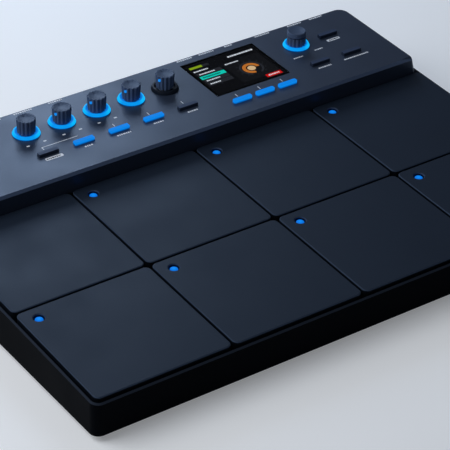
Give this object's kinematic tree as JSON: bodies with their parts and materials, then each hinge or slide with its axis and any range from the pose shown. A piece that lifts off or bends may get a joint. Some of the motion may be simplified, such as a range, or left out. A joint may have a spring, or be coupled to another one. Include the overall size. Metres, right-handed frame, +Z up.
{
  "type": "electronic percussion pad",
  "caption": "Table-top electronic percussion pad: square rubber strike pads in two rows, a raised control panel with knobs, lit buttons and a display, sockets at the back.",
  "frame": {"origin": "on the table, under the middle of the unit's box", "axes": "+X to the player's right along the unit's width, +Y away from the player to the sockets, +Z up"},
  "size_m": [0.445, 0.3212, 0.0751],
  "materials": {
    "case_plastic": "fine grain",
    "panel_plastic": "fine grain",
    "painted_steel": "black powder coat",
    "foot_rubber": "matt",
    "screw_steel": "zinc",
    "brass": "plain",
    "circuit_board": "solder mask",
    "cable_sheath": "ribbon",
    "window_glass": "clear, black border",
    "screen": "colour display",
    "light_acrylic": "lit from behind",
    "pot_steel": "pressed",
    "switch_plastic": "plain",
    "foam": "closed cell foam",
    "sensor_film": "film",
    "socket_plastic": "plain",
    "dark_button": "satin",
    "pad_rubber": "matt",
    "shaft_aluminium": "turned",
    "knob_plastic": "soft touch"
  },
  "bodies": {
    "unit": {"upper_case": "case_plastic", "base_plate": "painted_steel", "control_panel": "panel_plastic", "jack_plate": "painted_steel", "rubber_feet": "foot_rubber", "case_screws": "screw_steel", "board_screws": "screw_steel", "stand_inserts": "brass", "main_board": "circuit_board", "panel_board": "circuit_board", "jack_board": "circuit_board", "ribbon_cable": "cable_sheath", "display_window": "window_glass", "display_module": "screen", "light_rings": "light_acrylic", "pot_bodies": "pot_steel", "tact_switches": "switch_plastic", "pad_cushions": "foam", "pad_sensors": "sensor_film", "pad_lights": "light_acrylic", "phone_jacks": "socket_plastic", "jack_nuts": "screw_steel", "usb_port": "pot_steel", "power_inlet": "socket_plastic", "power_switch": "switch_plastic"},
    "pad_1": {"pad_1": "pad_rubber"},
    "pad_2": {"pad_2": "pad_rubber"},
    "pad_3": {"pad_3": "pad_rubber"},
    "pad_4": {"pad_4": "pad_rubber"},
    "pad_5": {"pad_5": "pad_rubber"},
    "pad_6": {"pad_6": "pad_rubber"},
    "pad_7": {"pad_7": "pad_rubber"},
    "pad_8": {"pad_8": "pad_rubber"},
    "knob_1": {"knob_1": "knob_plastic", "pot_shaft_1": "shaft_aluminium"},
    "knob_2": {"knob_2": "knob_plastic", "pot_shaft_2": "shaft_aluminium"},
    "knob_3": {"knob_3": "knob_plastic", "pot_shaft_3": "shaft_aluminium"},
    "knob_4": {"knob_4": "knob_plastic", "pot_shaft_4": "shaft_aluminium"},
    "knob_5": {"knob_5": "knob_plastic", "pot_shaft_5": "shaft_aluminium"},
    "encoder_knob": {"encoder_knob": "knob_plastic", "encoder_shaft": "shaft_aluminium"},
    "button_1": {"button_1": "dark_button"},
    "button_2": {"button_2": "light_acrylic"},
    "button_3": {"button_3": "light_acrylic"},
    "button_4": {"button_4": "light_acrylic"},
    "button_5": {"button_5": "dark_button"},
    "soft_key_1": {"soft_key_1": "light_acrylic"},
    "soft_key_2": {"soft_key_2": "light_acrylic"},
    "soft_key_3": {"soft_key_3": "light_acrylic"},
    "menu_button_1": {"menu_button_1": "dark_button"},
    "menu_button_2": {"menu_button_2": "dark_button"},
    "menu_button_3": {"menu_button_3": "dark_button"},
    "power_button": {"power_button": "dark_button"}
  },
  "joints": [
    {"name": "pad_1_strike", "type": "slide", "parent": "unit", "child": "pad_1", "axis": [0, -0.0384, 0.9993], "range_m": [-0.001, 0], "stiffness_N_per_m": 8000, "deforming": ["pad_cushions"]},
    {"name": "pad_2_strike", "type": "slide", "parent": "unit", "child": "pad_2", "axis": [0, -0.0384, 0.9993], "range_m": [-0.001, 0], "stiffness_N_per_m": 8000, "deforming": ["pad_cushions"]},
    {"name": "pad_3_strike", "type": "slide", "parent": "unit", "child": "pad_3", "axis": [0, -0.0384, 0.9993], "range_m": [-0.001, 0], "stiffness_N_per_m": 8000, "deforming": ["pad_cushions"]},
    {"name": "pad_4_strike", "type": "slide", "parent": "unit", "child": "pad_4", "axis": [0, -0.0384, 0.9993], "range_m": [-0.001, 0], "stiffness_N_per_m": 8000, "deforming": ["pad_cushions"]},
    {"name": "pad_5_strike", "type": "slide", "parent": "unit", "child": "pad_5", "axis": [0, -0.0384, 0.9993], "range_m": [-0.001, 0], "stiffness_N_per_m": 8000, "deforming": ["pad_cushions"]},
    {"name": "pad_6_strike", "type": "slide", "parent": "unit", "child": "pad_6", "axis": [0, -0.0384, 0.9993], "range_m": [-0.001, 0], "stiffness_N_per_m": 8000, "deforming": ["pad_cushions"]},
    {"name": "pad_7_strike", "type": "slide", "parent": "unit", "child": "pad_7", "axis": [0, -0.0384, 0.9993], "range_m": [-0.001, 0], "stiffness_N_per_m": 8000, "deforming": ["pad_cushions"]},
    {"name": "pad_8_strike", "type": "slide", "parent": "unit", "child": "pad_8", "axis": [0, -0.0384, 0.9993], "range_m": [-0.001, 0], "stiffness_N_per_m": 8000, "deforming": ["pad_cushions"]},
    {"name": "knob_1_turn", "type": "hinge", "parent": "unit", "child": "knob_1", "pos_m": [-0.1086, 0.12577, 0.06292], "axis": [0, -0.0384, 0.9993], "range_deg": [-150, 150]},
    {"name": "knob_2_turn", "type": "hinge", "parent": "unit", "child": "knob_2", "pos_m": [-0.0774, 0.12577, 0.06292], "axis": [0, -0.0384, 0.9993], "range_deg": [-150, 150]},
    {"name": "knob_3_turn", "type": "hinge", "parent": "unit", "child": "knob_3", "pos_m": [-0.0462, 0.12577, 0.06292], "axis": [0, -0.0384, 0.9993], "range_deg": [-150, 150]},
    {"name": "knob_4_turn", "type": "hinge", "parent": "unit", "child": "knob_4", "pos_m": [-0.015, 0.12577, 0.06292], "axis": [0, -0.0384, 0.9993], "range_deg": [-150, 150]},
    {"name": "knob_5_turn", "type": "hinge", "parent": "unit", "child": "knob_5", "pos_m": [0.0162, 0.12577, 0.06292], "axis": [0, -0.0384, 0.9993], "range_deg": [-150, 150]},
    {"name": "encoder_knob_turn", "type": "hinge", "parent": "unit", "child": "encoder_knob", "pos_m": [0.1428, 0.12577, 0.06292], "axis": [0, -0.0384, 0.9993], "continuous": true},
    {"name": "button_1_press", "type": "slide", "parent": "unit", "child": "button_1", "axis": [0, -0.0384, 0.9993], "range_m": [-0.0007, 0], "stiffness_N_per_m": 600},
    {"name": "button_2_press", "type": "slide", "parent": "unit", "child": "button_2", "axis": [0, -0.0384, 0.9993], "range_m": [-0.0007, 0], "stiffness_N_per_m": 600},
    {"name": "button_3_press", "type": "slide", "parent": "unit", "child": "button_3", "axis": [0, -0.0384, 0.9993], "range_m": [-0.0007, 0], "stiffness_N_per_m": 600},
    {"name": "button_4_press", "type": "slide", "parent": "unit", "child": "button_4", "axis": [0, -0.0384, 0.9993], "range_m": [-0.0007, 0], "stiffness_N_per_m": 600},
    {"name": "button_5_press", "type": "slide", "parent": "unit", "child": "button_5", "axis": [0, -0.0384, 0.9993], "range_m": [-0.0007, 0], "stiffness_N_per_m": 600},
    {"name": "soft_key_1_press", "type": "slide", "parent": "unit", "child": "soft_key_1", "axis": [0, -0.0384, 0.9993], "range_m": [-0.0007, 0], "stiffness_N_per_m": 600},
    {"name": "soft_key_2_press", "type": "slide", "parent": "unit", "child": "soft_key_2", "axis": [0, -0.0384, 0.9993], "range_m": [-0.0007, 0], "stiffness_N_per_m": 600},
    {"name": "soft_key_3_press", "type": "slide", "parent": "unit", "child": "soft_key_3", "axis": [0, -0.0384, 0.9993], "range_m": [-0.0007, 0], "stiffness_N_per_m": 600},
    {"name": "menu_button_1_press", "type": "slide", "parent": "unit", "child": "menu_button_1", "axis": [0, -0.0384, 0.9993], "range_m": [-0.0007, 0], "stiffness_N_per_m": 600},
    {"name": "menu_button_2_press", "type": "slide", "parent": "unit", "child": "menu_button_2", "axis": [0, -0.0384, 0.9993], "range_m": [-0.0007, 0], "stiffness_N_per_m": 600},
    {"name": "menu_button_3_press", "type": "slide", "parent": "unit", "child": "menu_button_3", "axis": [0, -0.0384, 0.9993], "range_m": [-0.0007, 0], "stiffness_N_per_m": 600},
    {"name": "power_button_press", "type": "slide", "parent": "unit", "child": "power_button", "axis": [0, 0.9993, 0.0384], "range_m": [-0.002, 0], "stiffness_N_per_m": 600}
  ]
}
